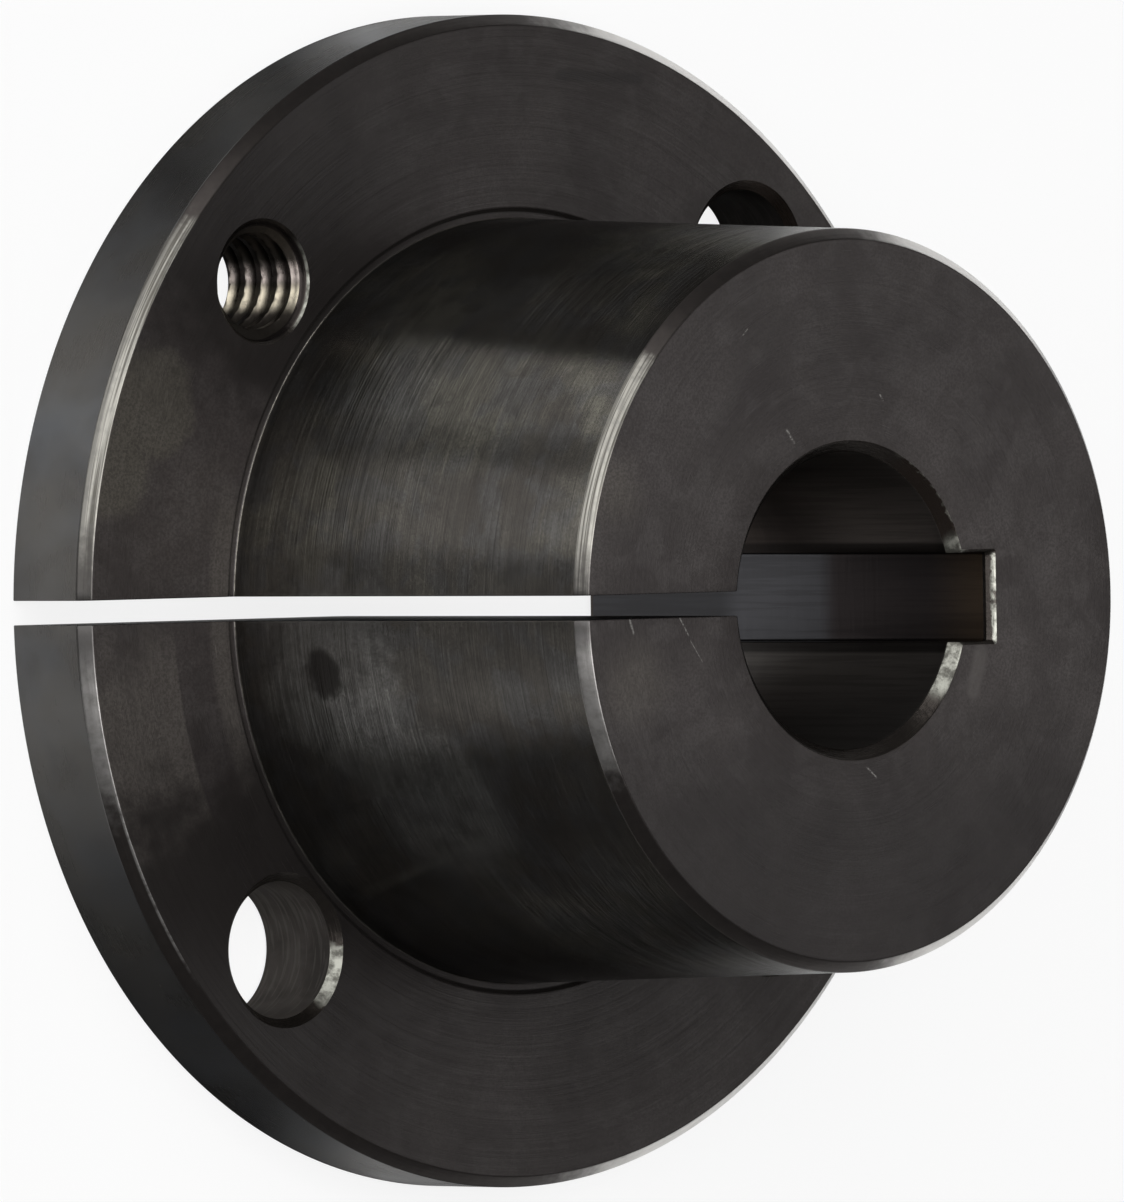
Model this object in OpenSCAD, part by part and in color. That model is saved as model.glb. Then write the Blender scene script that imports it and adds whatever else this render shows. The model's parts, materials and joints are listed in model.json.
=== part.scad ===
// Flanged split taper bushing, turned and drilled from one piece of steel.
// The frame's origin is the centre of the bore on the flange's back face.
// +Z runs along the bore towards the nose, +X points at the keyway and -X at the slit.

/* [Flange] */
// Outer diameter of the flange
flange_d = 63.5; // [61.5:0.25:80]
// Thickness of the flange
flange_t = 5.65; // [4.5:0.05:9]
// Chamfer round the front rim of the flange
rim_chamfer = 0.6; // [0.1:0.05:1]

/* [Barrel] */
// Length from the flange's back face to the nose
overall_l = 31.75; // [24:0.25:50]
// Diameter of the barrel where it leaves the flange face
barrel_d = 41.4; // [36:0.1:41.6]
// Loss of the barrel's diameter for each millimetre towards the nose
taper = 0.0625; // [0.01:0.0005:0.1]
// Chamfer round the nose
nose_chamfer = 0.6; // [0.1:0.05:1.5]
// Width of the relief ring turned into the flange face round the barrel
relief_w = 0.4; // [0.2:0.05:1.2]
// Depth of the relief ring below the flange face
relief_depth = 0.2; // [0.05:0.05:0.5]

/* [Bore and keyway] */
// Diameter of the bore
bore_d = 15.875; // [10:0.005:20]
// Chamfer at both ends of the bore
bore_chamfer = 0.6; // [0.1:0.05:1]
// Width of the keyway
key_w = 4.7625; // [3:0.0125:7]
// Depth of the keyway's floor beyond the wall of the bore
key_depth = 2.3625; // [1:0.0125:4]
// Chamfer where the keyway's floor meets the end faces
key_floor_chamfer = 0.4; // [0.1:0.05:0.8]
// Edge break where the keyway's sides meet the end faces
key_side_break = 0.15; // [0.05:0.05:0.4]

/* [Slit] */
// Width of the slit through one wall
slit_w = 1.3; // [0.6:0.1:3]

/* [Screw holes] */
// Distance from the flange's rim to the centre of each hole
hole_inset = 6.35; // [5.75:0.05:6.45]
// Angle of the first plain hole, measured from the keyway
hole_turn = 46.4; // [40:0.1:50]
// Diameter of the two plain holes
plain_d = 7.4; // [5.5:0.1:7.8]
// Chamfer at the front of the plain holes
plain_chamfer = 0.5; // [0.1:0.05:0.6]
// Minor diameter of the two tapped holes
tapped_d = 5.1; // [4:0.05:6]
// Countersink at the front of the tapped holes
tapped_chamfer = 0.85; // [0.3:0.05:1]
// Edge break where all four holes meet the back face
back_break = 0.1; // [0.05:0.05:0.5]

/* [Hidden] */
$fn = 128;
steel = [0.20, 0.19, 0.18];
// Cutting tools run this far past the faces that they open
over = 1;
flange_r = flange_d / 2;
barrel_base_r = barrel_d / 2;
bore_r = bore_d / 2;
hole_circle_r = flange_r - hole_inset;
key_reach = bore_r + key_depth;
// Two holes of a pair face each other, and the pairs stand square to each other
pair_step = 180;
pair_turn = 90;

// Radius of the tapered barrel at height z
function barrel_r(z) = barrel_base_r - (z - flange_t) * taper / 2;

// Half section of the blank as it leaves the lathe, from the bore outwards
module turned_section() {
    relief_z = flange_t - relief_depth;
    relief_r = barrel_r(relief_z) + relief_w;
    shoulder_z = overall_l - nose_chamfer;
    polygon([
        [bore_r + bore_chamfer, 0],
        [flange_r, 0],
        [flange_r, flange_t - rim_chamfer],
        [flange_r - rim_chamfer, flange_t],
        [relief_r + relief_depth, flange_t],
        [relief_r, relief_z],
        [barrel_r(relief_z), relief_z],
        [barrel_r(shoulder_z), shoulder_z],
        [barrel_r(shoulder_z) - nose_chamfer, overall_l],
        [bore_r + bore_chamfer, overall_l],
        [bore_r, overall_l - bore_chamfer],
        [bore_r, bore_chamfer],
    ]);
}

// Flange, tapered barrel and chamfered bore as one turned blank
module turned_blank() {
    rotate_extrude() turned_section();
}

// Slope that opens the keyway's floor onto an end face, drawn for the nose
module key_floor_slope() {
    translate([0, key_w / 2, overall_l])
        rotate([90, 0, 0])
            linear_extrude(height = key_w)
                polygon([
                    [key_reach - over, -key_floor_chamfer],
                    [key_reach, -key_floor_chamfer],
                    [key_reach + key_floor_chamfer, 0],
                    [key_reach + key_floor_chamfer, over],
                    [key_reach - over, over],
                ]);
}

// Edge break along both sides of the keyway on an end face, drawn for the nose
module key_side_slopes() {
    half_w = key_w / 2;
    translate([0, 0, overall_l])
        rotate([90, 0, 90])
            linear_extrude(height = key_reach)
                polygon([
                    [-half_w, -key_side_break],
                    [half_w, -key_side_break],
                    [half_w + key_side_break, 0],
                    [half_w + key_side_break, over],
                    [-half_w - key_side_break, over],
                    [-half_w - key_side_break, 0],
                ]);
}

// Everything that the keyway removes, with its broken edges at the nose and at the back
module keyway_cut() {
    translate([0, -key_w / 2, -over]) cube([key_reach, key_w, overall_l + 2 * over]);
    key_floor_slope();
    key_side_slopes();
    translate([0, 0, overall_l]) mirror([0, 0, 1]) {
        key_floor_slope();
        key_side_slopes();
    }
}

// Saw cut through the flange and the barrel wall into the bore
module slit_cut() {
    translate([-flange_r - over, -slit_w / 2, -over])
        cube([flange_r + over, slit_w, overall_l + 2 * over]);
}

// Drilled hole through the flange, chamfered at the front and clear past the barrel
module drilled_cut(d, chamfer) {
    rim_r = d / 2 + chamfer;
    translate([0, 0, -over]) cylinder(h = overall_l + 2 * over, d = d);
    translate([0, 0, flange_t - chamfer]) cylinder(h = chamfer, r1 = d / 2, r2 = rim_r);
    translate([0, 0, flange_t]) cylinder(h = overall_l - flange_t + over, r = rim_r);
    cylinder(h = back_break, r1 = d / 2 + back_break, r2 = d / 2);
}

// Two equal holes that face each other across the bore
module hole_pair(first_angle, d, chamfer) {
    for (k = [0, 1])
        rotate([0, 0, first_angle + k * pair_step])
            translate([hole_circle_r, 0, 0])
                drilled_cut(d, chamfer);
}

module bushing() {
    color(steel) difference() {
        turned_blank();
        keyway_cut();
        slit_cut();
        hole_pair(hole_turn, plain_d, plain_chamfer);
        hole_pair(hole_turn + pair_turn, tapped_d, tapped_chamfer);
    }
}

bushing();
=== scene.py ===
# %% [markdown]
# # A split taper bushing in black-oxidised steel
# The part is one piece of steel: a flange, a barrel that tapers towards the nose, a keyed
# bore, a saw cut through one wall and four holes in the flange. The CAD frame gives its
# place and its sizes, and this lesson gives it its skin. Lengths on the part are in
# millimetres until they go into a mesh. Meshes, lamps and the camera are in metres.

# %% Load the frame
import json
import math

import bpy
import numpy as np
from mathutils import Matrix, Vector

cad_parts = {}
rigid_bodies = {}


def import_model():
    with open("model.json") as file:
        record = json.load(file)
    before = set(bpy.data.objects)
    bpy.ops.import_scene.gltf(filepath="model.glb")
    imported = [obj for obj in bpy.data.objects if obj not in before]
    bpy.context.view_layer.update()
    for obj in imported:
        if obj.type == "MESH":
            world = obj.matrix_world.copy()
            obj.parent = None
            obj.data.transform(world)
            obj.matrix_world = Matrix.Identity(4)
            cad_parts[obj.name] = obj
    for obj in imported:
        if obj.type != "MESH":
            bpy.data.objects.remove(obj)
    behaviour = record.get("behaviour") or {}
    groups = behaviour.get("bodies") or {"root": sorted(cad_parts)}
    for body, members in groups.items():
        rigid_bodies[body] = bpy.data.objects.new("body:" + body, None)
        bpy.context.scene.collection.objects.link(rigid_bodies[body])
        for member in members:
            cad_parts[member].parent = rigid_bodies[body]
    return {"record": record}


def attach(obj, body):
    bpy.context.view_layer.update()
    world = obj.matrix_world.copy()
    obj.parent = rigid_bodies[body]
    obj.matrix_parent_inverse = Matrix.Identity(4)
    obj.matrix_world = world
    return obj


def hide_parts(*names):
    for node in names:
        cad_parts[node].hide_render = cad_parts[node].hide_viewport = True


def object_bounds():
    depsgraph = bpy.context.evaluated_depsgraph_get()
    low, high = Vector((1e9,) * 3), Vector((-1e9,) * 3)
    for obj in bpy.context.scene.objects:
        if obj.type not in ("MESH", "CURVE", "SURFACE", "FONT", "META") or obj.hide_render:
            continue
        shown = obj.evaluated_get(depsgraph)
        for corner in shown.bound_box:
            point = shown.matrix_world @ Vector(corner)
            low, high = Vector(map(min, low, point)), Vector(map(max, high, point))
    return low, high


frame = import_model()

MM = 0.001
cad_box = [[float(value) for value in corner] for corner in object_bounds()]
print("CAD box in metres:", cad_box)

# %% [markdown]
# ## Sizes
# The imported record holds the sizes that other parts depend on, such as the bore and the
# hole circle, so they are read from it. The rest are the small sizes of the turned shape,
# repeated here as a drawing would list them.

# %% Sizes from the frame
mounts = {mount["name"]: mount for mount in frame["record"]["mounts"]}
flange_r = cad_box[1][1] / MM
overall_l = cad_box[1][2] / MM
bore_r = mounts["bore"]["dims"]["r_mm"]
hole_circle_r = mounts["screw_holes"]["dims"]["pcd_mm"] / 2
plain_r = mounts["screw_holes"]["dims"]["hole_r_mm"]
tapped_r = mounts["jack_hole_a"]["dims"]["r_mm"]
tapped_x, tapped_y = mounts["jack_hole_a"]["pos_m"][:2]
tapped_turn = math.atan2(tapped_y, tapped_x)
print(f"flange radius {flange_r:.3f}, length {overall_l:.3f}, bore radius {bore_r:.3f}")

# %% Sizes of the turned shape
flange_t = 5.65
rim_chamfer = 0.6
barrel_base_r = 20.7
taper = 0.0625
nose_chamfer = 0.6
relief_w = 0.4
relief_depth = 0.2
bore_chamfer = 0.6
key_half_w = 2.38125
key_reach = 10.3
key_floor_chamfer = 0.4
key_side_break = 0.15
slit_half_w = 0.65
plain_chamfer = 0.5
tapped_chamfer = 0.85
back_break = 0.1
thread_pitch = 1.27
thread_major_r = 3.175
lead_in = 0.35


def barrel_r(z):
    """Radius of the tapered barrel at height z: it loses half the taper for each millimetre."""
    return barrel_base_r - (z - flange_t) * taper / 2


print(f"barrel radius {barrel_r(flange_t):.2f} at the flange, {barrel_r(overall_l):.2f} at the nose")

# %% [markdown]
# ## The camera
# The photograph looks down on the slit's side from above, with the part's axis lying
# level in the picture. A long lens far away gives the same flat perspective. The camera's
# axes are built from where it stands and what it looks at, and the frame's roll puts the
# bore's axis to the right.

# %% Place the camera
LENS_MM = 827.82
SENSOR_MM = 36.0
CLIP_END = 20.0
camera_place = np.array([-1.02249, 0.02013, 1.09733])
aim_point = np.array([0.00455, -0.0001, 0.00426])
picture_up = np.array([0.02064, 0.99979, 0.00088])


def pose_of(side, upwards, back, place):
    """The 4 x 4 matrix of an object that stands at place, from its three axes."""
    pose = np.eye(4)
    pose[:3] = np.column_stack([side, upwards, back, place])
    return Matrix(pose.tolist())


forward = aim_point - camera_place
forward /= np.linalg.norm(forward)
right = np.cross(forward, picture_up)
right /= np.linalg.norm(right)

camera_data = bpy.data.cameras.new("camera")
camera_data.lens = LENS_MM
camera_data.sensor_width = SENSOR_MM
camera_data.clip_end = CLIP_END
camera = bpy.data.objects.new("camera", camera_data)
camera.matrix_world = pose_of(right, np.cross(right, forward), -forward, camera_place)
bpy.context.scene.collection.objects.link(camera)
bpy.context.scene.camera = camera
bpy.context.scene.view_settings.view_transform = "Standard"
print(f"camera {np.linalg.norm(camera_place - aim_point):.2f} m from the part")

# %% [markdown]
# ## A white table
# Steel shows what stands around it, so the surroundings matter as much as the material.
# The table could be a matt white sheet alone, but then it renders grey. Here most of its
# white is a plain glow for camera, mirror and see-through rays, and the rest is matt and
# takes the part's shadow. Light Path tells the rays apart, so the glow shows in the picture
# and in the metal, and matt surfaces get no light from it.

# %% Nodes, and the white of the table
GLOW_SHARE = 0.84
MATT_WHITE = (0.85, 0.85, 0.85, 1.0)
WHITE = (1.0, 1.0, 1.0, 1.0)


def new_material(name):
    """A new material and its node tree, emptied."""
    material = bpy.data.materials.new(name)
    material.use_nodes = True
    tree = material.node_tree
    tree.nodes.clear()
    return material, tree


def add_node(tree, kind, inputs=None, **settings):
    """Add one node. Settings are its properties, inputs a dict of socket: value or socket."""
    made = tree.nodes.new(kind)
    for key, value in settings.items():
        setattr(made, key, value)
    for key, value in (inputs or {}).items():
        if isinstance(value, bpy.types.NodeSocket):
            tree.links.new(value, made.inputs[key])
        else:
            made.inputs[key].default_value = value
    return made


def maths(tree, operation, *values, clamp=False):
    """One Math node, its values numbers or sockets. Returns its output."""
    return add_node(tree, "ShaderNodeMath", dict(enumerate(values)),
                    operation=operation, use_clamp=clamp).outputs[0]


white_table, tree = new_material("white_table")
ray = add_node(tree, "ShaderNodeLightPath").outputs
seen = maths(tree, "MAXIMUM", ray["Is Camera Ray"], ray["Is Transmission Ray"])
seen = maths(tree, "MAXIMUM", seen, ray["Is Glossy Ray"])
glow_part = maths(tree, "MULTIPLY", seen, GLOW_SHARE)
matt = add_node(tree, "ShaderNodeBsdfDiffuse", {"Color": MATT_WHITE})
glow = add_node(tree, "ShaderNodeEmission", {"Color": WHITE, "Strength": 1.0})
blend = add_node(tree, "ShaderNodeMixShader", {0: glow_part, 1: matt.outputs[0], 2: glow.outputs[0]})
add_node(tree, "ShaderNodeOutputMaterial", {"Surface": blend.outputs[0]})
print("white_table:", len(tree.nodes), "nodes")

# %% The table and the wall
# Half the table's side, half the wall's height, and the gap below the part, in metres
TABLE_HALF = 6.0
WALL_HALF = 0.5
TABLE_DROP = 0.00002
CORNERS = [(-1, -1), (1, -1), (1, 1), (-1, 1)]


def flat_mesh(name, corners, faces, material):
    """A piece of the studio from its corners in metres, not part of the bushing."""
    mesh = bpy.data.meshes.new(name)
    mesh.from_pydata(corners, [], faces)
    mesh.materials.append(material)
    made = bpy.data.objects.new(name, mesh)
    bpy.context.scene.collection.objects.link(made)
    return made


def square_at(height):
    """The four corners of the table, moved to a height."""
    return [(x * TABLE_HALF, y * TABLE_HALF, height) for x, y in CORNERS]


flat_mesh("table", square_at(-TABLE_DROP), [(0, 1, 2, 3)], white_table)
# The wall closes the horizon, so that level mirror rays meet white too
wall_faces = [(k, (k + 1) % 4, (k + 1) % 4 + 4, k + 4) for k in range(4)]
flat_mesh("wall", square_at(-WALL_HALF) + square_at(WALL_HALF), wall_faces, white_table)
print("table and wall, half a side:", TABLE_HALF, "m")

# %% [markdown]
# ## Cards round the part
# A photographer lays grey and white cards round shiny metal, and the metal shows them as
# light and dark zones. The white table alone makes the barrel and the rim too light and too
# even, so four matt cards lie on it. Real ones would stand in the picture. These are hidden
# from the camera and throw no shadow, so they show in the metal's reflections alone, and
# there they hide much of the white table. Their greys were set until the zones fell
# where the photograph has them. So the zones belong to this light and not to the materials.

# %% Four cards and their greys
# The cards lie halfway between the table and the part, a hundredth of a millimetre from each
CARD_DROP = 0.00001
CARD_STEPS = 96
# Angle off the slit in degrees, and how white the card is there
NEAR_TONES = [(-180, 1.0), (-110, 0.9), (-92, 0.6), (-80, 1.0), (-71, 0.4), (-62, 0.12), (-40, 0.10),
              (-30, 0.19), (-20, 0.45), (-10, 0.72), (0, 0.8), (10, 0.85), (20, 1.0), (30, 0.66),
              (40, 0.42), (50, 0.12), (60, 0.28), (68, 0.2), (80, 0.9), (92, 0.6), (110, 0.9),
              (180, 1.0)]
FAR_TONES = [(-180, 1.0), (-120, 1.0), (-104, 0.05), (-36, 0.05), (-31, 0.3), (-26, 0.6), (-20, 0.7),
             (-14, 0.4), (-4, 0.2), (10, 0.28), (14, 0.8), (18, 1.0), (31, 0.9), (35, 0.36),
             (40, 0.36), (44, 0.85), (60, 1.0), (62.5, 0.85), (64.5, 0.05), (104, 0.05), (120, 1.0),
             (180, 1.0)]
# Under the part the table lies in the part's shadow. The low and high cards stand in for that shadow as
# dark sheets in the reflections: a painted shadow.
UNDER_PART_SHADE_TONES = [(-180, 0.1), (180, 0.1)]
# Name, inner and outer radius in millimetres, first and last angle off the slit, greys
CARDS = [
    ("near_card", 31.8, 38, -180, 180, NEAR_TONES),
    ("far_card", 38, 400, -180, 180, FAR_TONES),
    ("low_shade_card", 12, 31.8, -180, -14, UNDER_PART_SHADE_TONES),
    ("high_shade_card", 12, 31.8, 24, 180, UNDER_PART_SHADE_TONES),
]


def smooth_range(tree, value, low, high, to_low=0.0, to_high=1.0, kind="SMOOTHSTEP"):
    """A Map Range node: value between low and high goes to to_low and to_high."""
    limits = {"Value": value, "From Min": low, "From Max": high, "To Min": to_low, "To Max": to_high}
    return add_node(tree, "ShaderNodeMapRange", limits, interpolation_type=kind).outputs[0]


def split(tree, vector):
    """The X, Y and Z of a vector."""
    return add_node(tree, "ShaderNodeSeparateXYZ", {0: vector}).outputs


def angle_off_slit(tree, axes):
    """The turn round the axis, in radians: atan2(y, -x), which is nought at the slit."""
    return maths(tree, "ARCTAN2", axes["Y"], maths(tree, "MULTIPLY", axes["X"], -1.0))


def card(name, near, far, first, last, tones):
    """A flat ring of matt card whose greys follow the angle off the slit."""
    material, tree = new_material(name)
    place = add_node(tree, "ShaderNodeTexCoord").outputs["Object"]
    turn_at = angle_off_slit(tree, split(tree, place))
    whole_turn = smooth_range(tree, turn_at, -math.pi, math.pi, kind="LINEAR")
    ramp = add_node(tree, "ShaderNodeValToRGB", {0: whole_turn})
    stops = ramp.color_ramp.elements
    stops.remove(stops[1])
    for angle, white in tones:
        stops.new((angle + 180) / 360).color = (white, white, white, 1.0)
    stops.remove(stops[0])
    matt = add_node(tree, "ShaderNodeBsdfDiffuse", {"Color": ramp.outputs[0]})
    add_node(tree, "ShaderNodeOutputMaterial", {"Surface": matt.outputs[0]})
    turns = np.radians(np.linspace(first, last, CARD_STEPS + 1))
    corners = [(-reach * MM * math.cos(turn), reach * MM * math.sin(turn), -CARD_DROP)
               for reach in (near, far) for turn in turns]
    faces = [(k, k + 1, k + CARD_STEPS + 2, k + CARD_STEPS + 1) for k in range(CARD_STEPS)]
    made = flat_mesh(name, corners, faces, material)
    made.visible_camera = made.visible_diffuse = made.visible_shadow = False


for card_facts in CARDS:
    card(*card_facts)
print("cards:", [card_facts[0] for card_facts in CARDS])

# %% [markdown]
# ## The room and the lamps
# Soft light comes from large lamps. Two narrow strips stand behind the part, where the nose
# and the flange would mirror them, and two large boxes light the part from above and from
# the slit's side. Each lamp is set by how bright a mirror would show it, which is simpler to
# think about than its power. The room adds a little even grey light.

# %% Room light and four soft boxes
ROOM_LIGHT = 0.14
LAMP_AIM = np.array([0.0, 0.0, 0.02])
# Name, place, width, height, and brightness in a mirror
LAMPS = [
    ("cross_strip", (0.99, -0.02, 1.06), 1.5, 0.26, 0.55),
    ("long_strip", (0.66, 0.0, 1.28), 0.26, 0.9, 0.7),
    ("top_box", (-0.35, 0.1, 1.1), 0.8, 0.8, 4.5),
    ("key_box", (-0.645, 0.504, 0.574), 1.5, 0.55, 1.9),
]

world = bpy.data.worlds.new("room")
bpy.context.scene.world = world
world.use_nodes = True
tree = world.node_tree
tree.nodes.clear()
sky = add_node(tree, "ShaderNodeBackground", {"Color": WHITE, "Strength": ROOM_LIGHT})
add_node(tree, "ShaderNodeOutputWorld", {"Surface": sky.outputs[0]})


def soft_box(name, place, width, height, brightness):
    """An area lamp that looks at the part. Its power is brightness x area x pi, so that a
    mirror would show it as a card of that brightness."""
    data = bpy.data.lights.new(name, "AREA")
    data.shape = "RECTANGLE"
    data.size = width
    data.size_y = height
    data.energy = brightness * width * height * math.pi
    back = np.array(place) - LAMP_AIM
    back /= np.linalg.norm(back)
    side = np.cross((0.0, 0.0, 1.0), back)
    side /= np.linalg.norm(side)
    lamp = bpy.data.objects.new(name, data)
    bpy.context.scene.collection.objects.link(lamp)
    lamp.matrix_world = pose_of(side, np.cross(back, side), back, place)
    lamp.visible_camera = False


for lamp_facts in LAMPS:
    soft_box(*lamp_facts)
print("lamps:", [lamp_facts[0] for lamp_facts in LAMPS])

# %% [markdown]
# ## Where on the part am I?
# A turned part has its own directions: out from the axis, along the axis and round it. Every
# mark on it follows one of them. A node group turns the object's own coordinates into these
# three, so that each finish can say "along the barrel" or "near the rim" in plain numbers.

# %% A group with the part's own directions
SOCKETS = {"value": "NodeSocketFloat", "vector": "NodeSocketVector"}


def new_group(name, takes, gives):
    """An empty node group. takes and gives are dicts of socket name: kind or number."""
    group = bpy.data.node_groups.new(name, "ShaderNodeTree")
    for in_out, sockets in (("INPUT", takes), ("OUTPUT", gives)):
        for socket_name, kind in sockets.items():
            number = not isinstance(kind, str)
            made = group.interface.new_socket(
                name=socket_name, in_out=in_out, socket_type=SOCKETS["value" if number else kind])
            if number:
                made.default_value = kind
    entry = group.nodes.new("NodeGroupInput")
    return group, entry.outputs, group.nodes.new("NodeGroupOutput").inputs


def use_group(tree, group, inputs):
    """Place a group in a tree, with its own values, and return its outputs."""
    return add_node(tree, "ShaderNodeGroup", inputs, node_tree=group).outputs


def vectors(tree, operation, first, second, gives="Vector"):
    """One Vector Math node. The second value of SCALE is a number, that of the rest a vector."""
    second_socket = "Scale" if operation == "SCALE" else 1
    inputs = {0: first, second_socket: second}
    return add_node(tree, "ShaderNodeVectorMath", inputs, operation=operation).outputs[gives]


part_place, taken, given = new_group(
    "part_place", {"Place": "vector"},
    {"Millimetres": "vector", "Radius": "value", "Height": "value", "Angle": "value"})
in_mm = vectors(part_place, "MULTIPLY", taken["Place"], (1 / MM, 1 / MM, 1 / MM))
axes = split(part_place, in_mm)
squares = [maths(part_place, "POWER", axes[name], 2.0) for name in "XY"]
radius = maths(part_place, "SQRT", maths(part_place, "ADD", *squares))
degrees = maths(part_place, "MULTIPLY", angle_off_slit(part_place, axes), 180 / math.pi)
part_place.links.new(in_mm, given["Millimetres"])
part_place.links.new(radius, given["Radius"])
part_place.links.new(axes["Z"], given["Height"])
part_place.links.new(degrees, given["Angle"])
print("part_place gives:", [socket.name for socket in given if socket.name])

# %% [markdown]
# ## Lathe marks
# A cutting tool leaves a fine spiral that reads as rings. Rings are a noise that changes
# quickly in one direction and slowly in the two others: the quick one is the height on the
# barrel and the radius on a face. The slow ones let each ring fade and come back. Bands are
# the same again, but broader.

# %% The lathe marks group
# Output, how many times broader and longer than the fine rings, and the detail of the noise
RING_KINDS = [("Lines", 1.0, 1.0, 2.0), ("Bands", 7.0, 1.6, 3.0)]


def noise(tree, where, scale, detail, roughness=0.6, distortion=0.0):
    """One Noise Texture node. Returns its value."""
    inputs = {"Vector": where, "Scale": scale, "Detail": detail, "Roughness": roughness,
              "Distortion": distortion}
    return add_node(tree, "ShaderNodeTexNoise", inputs).outputs[0]


lathe_marks, taken, given = new_group(
    "lathe_marks", {"Millimetres": "vector", "Along": "value", "Spacing": 0.2, "Drift": 9.0},
    {"Lines": "value", "Bands": "value"})
axes = split(lathe_marks, taken["Millimetres"])
for output, broader, longer, detail in RING_KINDS:
    slow = maths(lathe_marks, "MULTIPLY", taken["Drift"], longer)
    fast = maths(lathe_marks, "MULTIPLY", taken["Spacing"], broader)
    across = [maths(lathe_marks, "DIVIDE", axes[name], slow) for name in "XY"]
    along = maths(lathe_marks, "DIVIDE", taken["Along"], fast)
    where = add_node(lathe_marks, "ShaderNodeCombineXYZ", {0: across[0], 1: across[1], 2: along})
    lathe_marks.links.new(noise(lathe_marks, where.outputs[0], 1.0, detail), given[output])
print("lathe_marks:", len(lathe_marks.nodes), "nodes")

# %% [markdown]
# ## Black oxide
# The black is a thin skin that the steel was cooked in. It is never even: it has clouds of
# brown, olive and grey, and thin places where the steel shows through. The group gives two
# soft noises, Cloud for light and dark and Tint for the hue, and Shift moves them so that no
# two finishes have the same clouds.

# %% The oxide clouds group
# Output, how many times larger its clouds are, and an offset that sets it apart
CLOUD_KINDS = [("Cloud", 1.0, 0.0), ("Tint", 1.7, 31.0)]

oxide_clouds, taken, given = new_group(
    "oxide_clouds", {"Millimetres": "vector", "Size": 9.0, "Shift": 0.0},
    {"Cloud": "value", "Tint": "value"})
moved = add_node(oxide_clouds, "ShaderNodeCombineXYZ", {k: taken["Shift"] for k in range(3)})
for output, larger, offset in CLOUD_KINDS:
    size = maths(oxide_clouds, "MULTIPLY", taken["Size"], larger)
    where = vectors(oxide_clouds, "ADD", taken["Millimetres"], moved.outputs[0])
    where = vectors(oxide_clouds, "ADD", where, (offset, offset, offset))
    where = vectors(oxide_clouds, "SCALE", where, maths(oxide_clouds, "DIVIDE", 1.0, size))
    cloud = noise(oxide_clouds, where, 1.0, 4.0, roughness=0.55, distortion=0.4)
    oxide_clouds.links.new(smooth_range(oxide_clouds, cloud, 0.3, 0.7), given[output])
print("oxide_clouds:", len(oxide_clouds.nodes), "nodes")

# %% [markdown]
# ## Coats of colour
# A finish is built as a painter works: a base colour, then coats over it, each with a mask
# that says where it lies and how thick. The masks come from noises, from windows in the
# part's own directions, and from spots and strokes at places read from the photograph.
# All of them are small sums, so short functions write the nodes.

# %% Colours, coats and masks
THICK_OXIDE = (0.034, 0.030, 0.029)
BROWN_OXIDE = (0.062, 0.054, 0.050)
THIN_OXIDE = (0.160, 0.150, 0.135)
BARE_STEEL = (0.42, 0.41, 0.385)


def mix(tree, amount, first, second):
    """Mix two colours, each a socket or three numbers."""
    first, second = [(*c, 1.0) if isinstance(c, tuple) else c for c in (first, second)]
    return add_node(tree, "ShaderNodeMix", {0: amount, 6: first, 7: second},
                    data_type="RGBA").outputs[2]


def times(tree, *values):
    """Product of two or more values."""
    product = values[0]
    for value in values[1:]:
        product = maths(tree, "MULTIPLY", product, value)
    return product


def add_up(tree, *pairs):
    """Sum of value x weight over the pairs."""
    total = 0.0
    for value, weight in pairs:
        total = maths(tree, "MULTIPLY_ADD", value, weight, total)
    return total


def highest(tree, *values):
    """The highest of two or more values."""
    top = values[0]
    for value in values[1:]:
        top = maths(tree, "MAXIMUM", top, value)
    return top


def window(tree, value, start, end, soft):
    """1 while value lies between start and end, with edges that take soft to fade."""
    return times(tree, smooth_range(tree, value, start - soft, start + soft),
                 smooth_range(tree, value, end - soft, end + soft, 1.0, 0.0))


def paint(tree, colour, *coats):
    """Lay coats over a colour, first to last. A coat is how much of it shows, and its colour."""
    for amount, coat in coats:
        colour = mix(tree, amount, colour, coat)
    return colour


print("steel:", BARE_STEEL, "and its oxide:", THIN_OXIDE, BROWN_OXIDE, THICK_OXIDE)

# %% Spots, noises and strokes
# A stroke is full up to this share of its width from the line, and gone at the width
SHARP_SHARE = 0.3


def noise_at(tree, at, per_mm, detail=3.0, stretch=None):
    """A noise of per_mm cells to the millimetre, stretched by dividing each axis if asked."""
    where = at["Millimetres"]
    if stretch is not None:
        where = vectors(tree, "DIVIDE", where, stretch)
    return noise(tree, where, per_mm, detail)


def spot(tree, at, centre, reach, soft, ragged=None, rough_mm=0.0):
    """1 inside a ball round centre, in millimetres. A noise can make its edge ragged."""
    apart = vectors(tree, "DISTANCE", at["Millimetres"], centre, gives="Value")
    if ragged is not None:
        apart = add_up(tree, (ragged, rough_mm), (apart, 1.0), (1.0, -0.5 * rough_mm))
    return smooth_range(tree, apart, reach - soft, reach + soft, 1.0, 0.0)


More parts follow.
